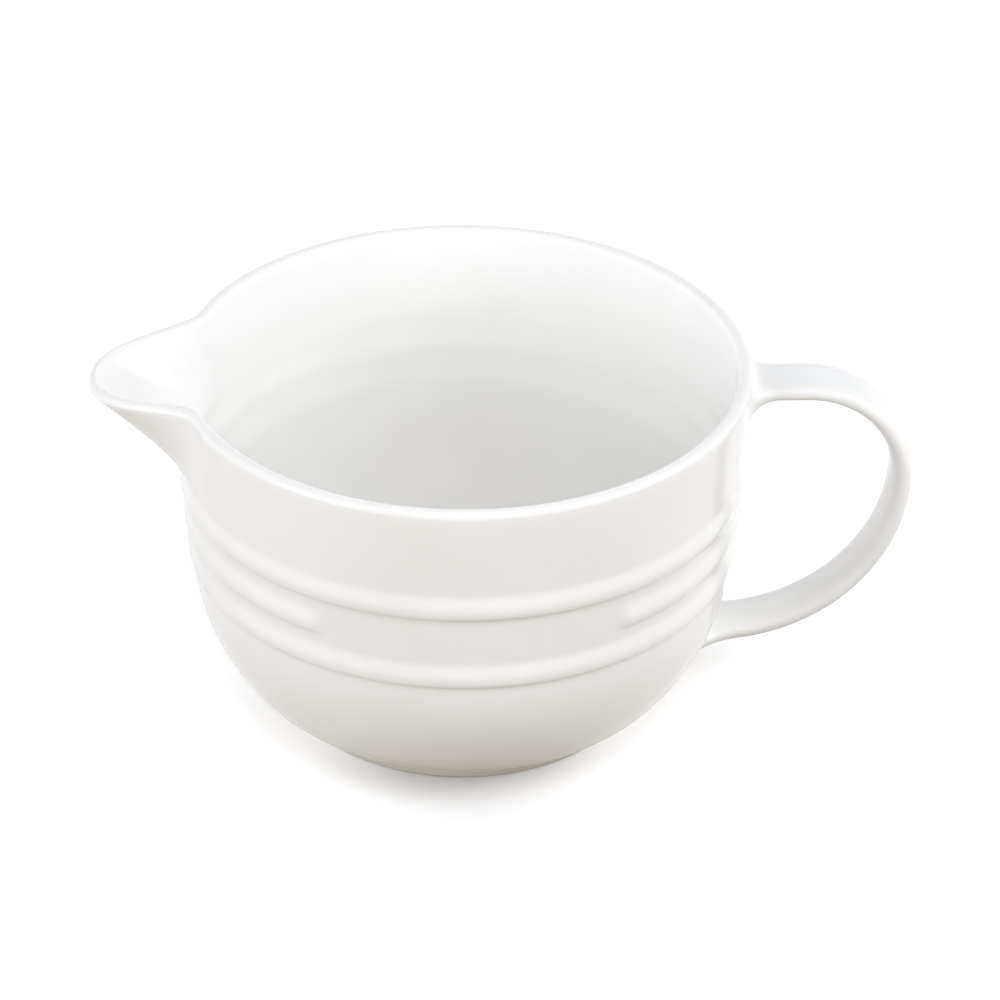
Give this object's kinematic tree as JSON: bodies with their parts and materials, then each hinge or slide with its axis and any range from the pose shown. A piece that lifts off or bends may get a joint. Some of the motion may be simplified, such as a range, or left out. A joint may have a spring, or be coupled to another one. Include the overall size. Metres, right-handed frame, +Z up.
{
  "type": "batter bowl",
  "caption": "Round white stoneware batter bowl with a pulled pouring spout, a strap handle, moulded ridges round the wall and a low foot ring.",
  "frame": {"origin": "middle of the foot ring, on the table", "axes": "+X towards the handle and -X towards the spout, -Y towards the plain panel in the middle ridge, +Z up along the bowl's axis"},
  "size_m": [0.2813, 0.196, 0.129],
  "materials": {
    "white_glaze": "glossy white glaze over stoneware, wiped off the face that stands on the table"
  },
  "bodies": {
    "root": {"bowl_body": "white_glaze", "pouring_spout": "white_glaze", "strap_handle": "white_glaze", "foot_ring": "white_glaze"}
  },
  "joints": []
}
